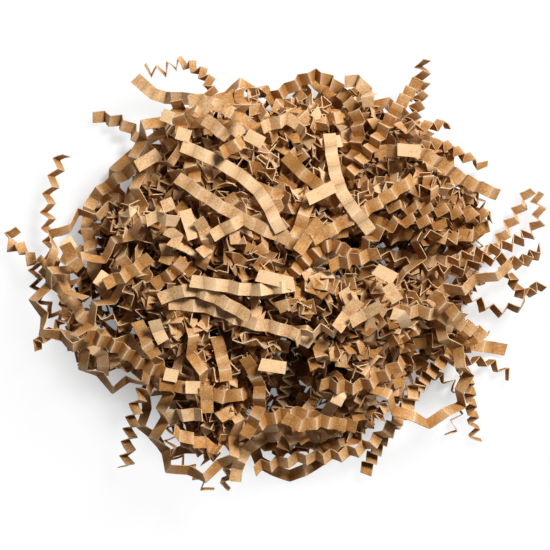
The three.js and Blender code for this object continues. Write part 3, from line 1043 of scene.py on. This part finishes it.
@dataclass
class Studio:
    """Floor, light and camera.

    Args:
        field: Width of what the camera sees, on the plane it is measured at.
        field_height: Height of that plane above the floor.
        camera_height: Height of the camera.
        floor_size: Side of the floor.
        white_below: How far the floor's shadows are washed out to the camera, under the heap.
        white_around: The same, away from the heap.
        shadow_scale: Makes distances on the floor about 1 at the heap's edge.
        shadow_fade: Those distances between which the one turns into the other.
        floor_grey: Brightness of the floor in the lamp's light.
        lamp_place: Where the lamp stands.
        lamp_size: Its side.
        lamp_power: Its power in watts.
        sky_strength: Strength of the light from all round that reaches the heap.
    """

    field: float = 0.1257
    field_height: float = 0.010
    camera_height: float = 0.85
    floor_size: float = 6.0
    white_below: float = 0.25
    white_around: float = 0.95
    shadow_scale: tuple[float, float, float] = (16.2, 20.4, 0.0)
    shadow_fade: tuple[float, float] = (0.62, 1.04)
    floor_grey: float = 0.9
    lamp_place: tuple[float, float, float] = (0.45, 0.5, 0.95)
    lamp_size: float = 0.3
    lamp_power: float = 19.4
    sky_strength: float = 0.09

    def floor(self) -> None:
        """Lays a white floor that still takes the heap's soft shadow."""
        bpy.ops.object.select_all(action="DESELECT")
        bpy.ops.mesh.primitive_plane_add(size=self.floor_size, location=(0, 0, -0.1 * MM))
        floor = bpy.context.object
        floor.name = "floor"
        sheet = ShaderSheet("white_floor")
        eye = sheet.node("ShaderNodeLightPath", output="Is Camera Ray")
        grey = (self.floor_grey,) * 3 + (1.0,)
        matt = sheet.node("ShaderNodeBsdfDiffuse", inputs={"Color": grey})
        glow = {"Color": (1.0, 1.0, 1.0, 1.0), "Strength": 1.0}
        white = sheet.node("ShaderNodeEmission", inputs=glow)
        place = sheet.node("ShaderNodeTexCoord", output="Object")
        scale = {0: place, 1: self.shadow_scale}
        scaled = sheet.node("ShaderNodeVectorMath", {"operation": "MULTIPLY"}, scale)
        away = sheet.node("ShaderNodeVectorMath", {"operation": "LENGTH"}, {0: scaled}, output="Value")
        near, far = self.shadow_fade
        limits = {"From Min": near, "From Max": far, "To Min": self.white_below, "To Max": self.white_around}
        soft = {"interpolation_type": "SMOOTHSTEP"}
        share = sheet.node("ShaderNodeMapRange", soft, {"Value": away, **limits})
        both = sheet.node("ShaderNodeMixShader", inputs={0: eye * share, 1: matt, 2: white})
        sheet.node("ShaderNodeOutputMaterial", inputs={"Surface": both})
        floor.data.materials.append(sheet.material)

    def window(self) -> None:
        """Adds the soft lamp that looks at the heap."""
        place = self.lamp_place
        bpy.ops.object.light_add(type="AREA", location=place)
        lamp = bpy.context.object
        lamp.name = "window"
        lamp.data.size = self.lamp_size
        lamp.data.energy = self.lamp_power
        aim = -np.array(place) / np.linalg.norm(place)
        lamp.rotation_euler = (
            math.acos(max(-1.0, min(1.0, -aim[2]))),
            0.0,
            math.atan2(aim[1], aim[0]) - math.pi / 2,
        )

    def sky(self) -> None:
        """Adds white surroundings: soft light on the heap, white to the camera."""
        world = bpy.data.worlds.new("studio")
        bpy.context.scene.world = world
        world.use_nodes = True
        back = world.node_tree.nodes["Background"]
        back.inputs["Color"].default_value = (1.0, 1.0, 1.0, 1.0)
        sheet = NodeSheet(world.node_tree)
        eye = sheet.node("ShaderNodeLightPath", output="Is Camera Ray")
        strength = eye * (1.0 - self.sky_strength) + self.sky_strength
        sheet.tree.links.new(strength.socket, back.inputs["Strength"])

    def camera(self) -> None:
        """Adds a camera straight above the heap."""
        data = bpy.data.cameras.new("overhead")
        data.lens = data.sensor_width * (self.camera_height - self.field_height) / self.field
        camera = bpy.data.objects.new("overhead", data)
        camera.location = (0.0, 0.0, self.camera_height)
        data.clip_start = 0.01
        bpy.context.collection.objects.link(camera)
        bpy.context.scene.camera = camera

    def build(self) -> None:
        """Sets the scene."""
        self.floor()
        self.window()
        self.sky()
        self.camera()
        bpy.context.scene.view_settings.view_transform = "Standard"


# The ridge colours are wear with a painted highlight, the valley colours painted shade
kraft_face = KraftFinish(
    "kraft_paper",
    dark=(0.25, 0.095, 0.016),
    plain=(0.475, 0.223, 0.059),
    pale=(0.79, 0.53, 0.29),
    ridge=(0.94, 0.7, 0.45),
).build()
kraft_edge = KraftFinish(
    "kraft_cut_edge",
    dark=(0.52, 0.30, 0.14),
    plain=(0.70, 0.46, 0.25),
    pale=(0.82, 0.60, 0.37),
    ridge=(0.85, 0.64, 0.42),
    roughness=0.85,
).build()


@dataclass(frozen=True)
class LooseBatch:
    """Loose strips of equally many panels.

    Args:
        panels: Panels in each.
        count: Number of strips.
        levels: Lowest and highest share of the heap's height they lie at.
        detail: How finely they are folded.
    """

    panels: int
    count: int
    levels: tuple[float, float]
    detail: Detail = Detail.SHARP


LOOSE_BATCHES = (
    LooseBatch(5, 180, (0.88, 1.02), Detail.ROUNDED),
    LooseBatch(8, 210, (0.78, 0.98), Detail.ROUNDED),
    LooseBatch(12, 180, (0.6, 0.92)),
    LooseBatch(16, 120, (0.4, 0.82)),
    LooseBatch(20, 100, (0.05, 0.5)),
)
CLOSING_BATCH = LooseBatch(10, 90, (0.15, 0.7), Detail.ROUNDED)

TOP_STRIPS = (
    # Middle of the crown
    TopStrip(((-3.9, 0.0), (3.9, -1.9)), 3, 4, Tone.BRIGHT, 8.0),
    TopStrip(((7.2, 16.8), (13.2, 19.7)), 6, 6, Tone.BRIGHT, 6.6),
    TopStrip(((5, 5), (7, 8), (10, 12)), 14, 8, Tone.PLAIN, 4.5),
    TopStrip(((-20, 14.4), (-18, 8)), 10, 6, Tone.BRIGHT, 3.4),
    TopStrip(((-17, 12.4), (-15.4, 9), (-14.4, 6.6), (-16.6, 4.6)), 36, 10, Tone.PALE),
    TopStrip(((-14, 8.6), (-10.5, 10.6), (-7, 12.4), (-4.5, 11.2)), 26, 12, Tone.PALE, 3.4),
    TopStrip(((-24.2, 10.2), (-21.2, 8.2), (-22.8, 6.2)), 30, 10, Tone.PALE),
    TopStrip(((-28.6, 12.2), (-25.4, 13), (-21.6, 11.6)), 44, 30, Tone.BRIGHT),
    TopStrip(((-25, 15), (-22.4, 16)), 12, 14, Tone.PALE, 2.8),
    TopStrip(((12, 2), (16, 3), (20, 4), (23, 5)), 52, 20),
    # Below the middle
    TopStrip(((-3.4, -19.8), (0.6, -20.6), (2.4, -20.8)), 10, 5, Tone.BRIGHT, 5.4),
    TopStrip(((-13.1, -13.9), (-12.2, -17), (-11.2, -21), (-10.9, -23.7)), 24, 8),
    TopStrip(((-30.5, -10.5), (-29.3, -13), (-28, -16), (-26.6, -18)), 34, 10),
    TopStrip(((-26.6, -10), (-26, -12.5), (-24.6, -14.8)), 40, 8, Tone.BRIGHT),
    TopStrip(((-24.6, -21.9), (-21.6, -22.6)), 8, 6, Tone.BRIGHT),
    TopStrip(((-19.9, -24.9), (-16.7, -25)), 8, 6, Tone.BRIGHT, 3.2),
    TopStrip(((-15.3, -24.6), (-15, -30.6)), 20, 8),
    TopStrip(((-24, -32), (-21, -31), (-16, -31)), 42, 12, Tone.PALE),
    TopStrip(((-22.6, -34.4), (-18.3, -37.2), (-12.2, -39.6)), 48, -35),
    TopStrip(((2, -32), (6, -34), (11, -33), (16, -34)), 50, 12),
    # Right
    TopStrip(((22.2, 1.4), (26.6, -0.9)), 8, 6, Tone.BRIGHT, 5.0),
    TopStrip(((24.8, -2.2), (27.2, -5.8)), 10, 6, Tone.PALE, 4.3),
    TopStrip(((25.8, -8.4), (28, -9), (29.4, -11.4)), 20, 10, Tone.BRIGHT),
    TopStrip(((13.6, -12), (15, -10), (18.4, -5.6)), 12, 10, Tone.PALE, 4.0),
    TopStrip(((16.6, -10.2), (20.5, -8.8), (23.4, -6.4)), 10, 30, Tone.PALE, 4.0),
    TopStrip(((35, -4), (38, -7), (42, -10)), 48, 20),
    TopStrip(((27.4, 28.1), (32.5, 27.6)), 8, 6, Tone.BRIGHT, 5.2),
    # Top
    TopStrip(((16, 44), (19, 44), (21, 41), (21, 38)), 46, 16, Tone.PALE),
    TopStrip(((-3, 33), (0, 34), (3, 35), (5, 34)), 40, 12, Tone.PALE),
    TopStrip(((-9.6, 33.4), (-7.4, 31.2)), 10, 6, Tone.BRIGHT),
    TopStrip(((-6.4, 31.4), (-2.6, 29.4)), 10, 8, Tone.BRIGHT, 4.0),
    TopStrip(((-15.8, 34.6), (-13.4, 33), (-10.4, 30.6)), 40, 14, Tone.PALE),
    TopStrip(((-12, 27), (-10, 28), (-7, 30)), 44, 10),
    TopStrip(((-21.8, 31.6), (-18.8, 30.6)), 8, 6, Tone.BRIGHT),
    TopStrip(((-25, 35.6), (-22.6, 34.6)), 12, 10, Tone.BRIGHT, 2.8),
    TopStrip(((-19.2, 38.6), (-16.6, 38.8), (-14.4, 36.6)), 36, 16, Tone.PALE),
    TopStrip(((-11.4, 38), (-8.6, 40)), 10, 6, Tone.PLAIN, 3.4),
    TopStrip(((-8.2, 41), (-7, 38), (-8, 34)), 50, -40),
    # Left
    TopStrip(((-31, 24.3), (-26, 27.3)), 8, 6, Tone.PALE, 5.8),
    TopStrip(((-30.4, 16.8), (-32.2, 13.8), (-34, 11.8), (-33.2, 8.2)), 60, -84, Tone.BRIGHT, 2.8),
    TopStrip(((-47.3, 6.2), (-44.9, 7.6)), 10, 8, Tone.BRIGHT, 2.8),
    TopStrip(((-46.6, 6.8), (-45.4, 3.8), (-43.4, 1.4)), 44, 8),
    TopStrip(((-39.6, -2.4), (-37.6, 0.4)), 14, 8, Tone.BRIGHT, 3.4),
    TopStrip(((-38, -2), (-33, 0), (-28, 4)), 52, 14),
)


class ShredNest:
    """The whole heap."""

    TONES = {
        "crown_bright_arm": Tone.BRIGHT,
        "crown_short_flat": Tone.BRIGHT,
        "crown_steep_arm": Tone.BRIGHT,
        "crown_pale_arm": Tone.PALE,
        "crown_low_band": Tone.PALE,
        "top_left_flap": Tone.PALE,
        "bottom_zigzag": Tone.PALE,
        "left_loop": Tone.PALE,
    }

    # Strips that nothing may hide, however low they lie
    IN_FULL_VIEW = (
        "ridged_strand",
        "right_long_strand",
        "left_arc",
        "left_face_strand",
        "bottom_arm",
        "bottom_zigzag",
        "crown_bright_arm",
    )

    # Starts of the random unevenness, tones and routes
    FOLD_SEED, CLOSING_SEED, TONE_SEED, ROUTE_SEED = 11, 31, 5, 23
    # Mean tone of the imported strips, its spread and its limits
    TONE_MEAN, TONE_SPREAD, TONE_LIMITS = 0.5, 0.2, (0.05, 0.95)
    # How far out bare places are closed, as a share of the outline, and among how many of the barest
    CLOSED_WITHIN, BAREST = 0.82, 8

    def __init__(self) -> None:
        """Sets up the paper, the heap's form and the room in it."""
        self.paper = PaperStrip()
        self.form = HeapForm()
        self.room = HeapRoom(self.form)
        self.folder = PaperFolder(self.paper, self.FOLD_SEED, Detail.CURLED)
        self.random = np.random.default_rng(self.TONE_SEED)
        self.layer = StripLayer(self.paper, self.form, self.room, seed=self.ROUTE_SEED)

    def dress_packed(self) -> None:
        """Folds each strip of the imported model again, in its own place."""
        for name in sorted(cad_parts):
            lines = PackedStrip(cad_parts[name], self.paper).crease_lines(self.tone_of(name))
            near = 0.0 if name in self.IN_FULL_VIEW else HeapRoom.NEAR_TOP
            self.room.take(lines, shown=not name.startswith("inner"), near=near)
            piece = self.folder.fold(f"paper_{name}", [lines])
            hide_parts(name)
            self.fit(piece)

    def tone_of(self, name: str) -> float:
        """Picks a packed strip's tone.

        Args:
            name: Name of the strip.

        Returns:
            The tone it is given, or else a random one.
        """
        if name in self.TONES:
            return self.TONES[name].value
        return float(np.clip(self.random.normal(self.TONE_MEAN, self.TONE_SPREAD), *self.TONE_LIMITS))

    def top(self) -> None:
        """Adds the short strips on top, in groups of equally many panels."""
        groups: dict[int, list[CreaseLines]] = {}
        for given in TOP_STRIPS:
            lines = self.layer.top_strip(given)
            groups.setdefault(lines.panels, []).append(lines)
        for panels, strips in sorted(groups.items()):
            self.fit(self.folder.fold(f"top_strips_{panels}", strips))

    def fill(self) -> None:
        """Adds the loose strips."""
        for number, batch in enumerate(LOOSE_BATCHES, start=1):
            strips = [self.layer.loose_strip(batch.panels, batch.levels) for _ in range(batch.count)]
            folder = PaperFolder(self.paper, self.FOLD_SEED + number, batch.detail)
            self.fit(folder.fold(f"loose_strips_{number}", strips))

    def close(self) -> None:
        """Lays more loose strips over the places where the floor would still show."""
        batch = CLOSING_BATCH
        strips: list[CreaseLines] = []
        while len(bare := self.room.bare(self.CLOSED_WITHIN)) and len(strips) < batch.count:
            middle = bare[self.random.integers(min(len(bare), self.BAREST))]
            strips.append(self.layer.loose_strip(batch.panels, batch.levels, middle))
        log.info("%d places still bare after %d strips", len(bare), len(strips))
        if strips:
            folder = PaperFolder(self.paper, self.CLOSING_SEED, batch.detail)
            self.fit(folder.fold("loose_strips_closing", strips))

    def fit(self, piece: bpy.types.Object) -> None:
        """Says what a piece rides on, and logs how many faces it has.

        Args:
            piece: The piece.
        """
        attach(piece, "root")
        log.info("%s: %d faces", piece.name, len(piece.data.polygons))

    def build(self) -> None:
        """Builds the heap."""
        self.dress_packed()
        self.top()
        self.fill()
        self.close()


def main() -> None:
    """Builds the heap and the studio."""
    logging.basicConfig(level=logging.INFO, format="%(message)s")
    ShredNest().build()
    Studio().build()


if __name__ == "__main__":
    main()
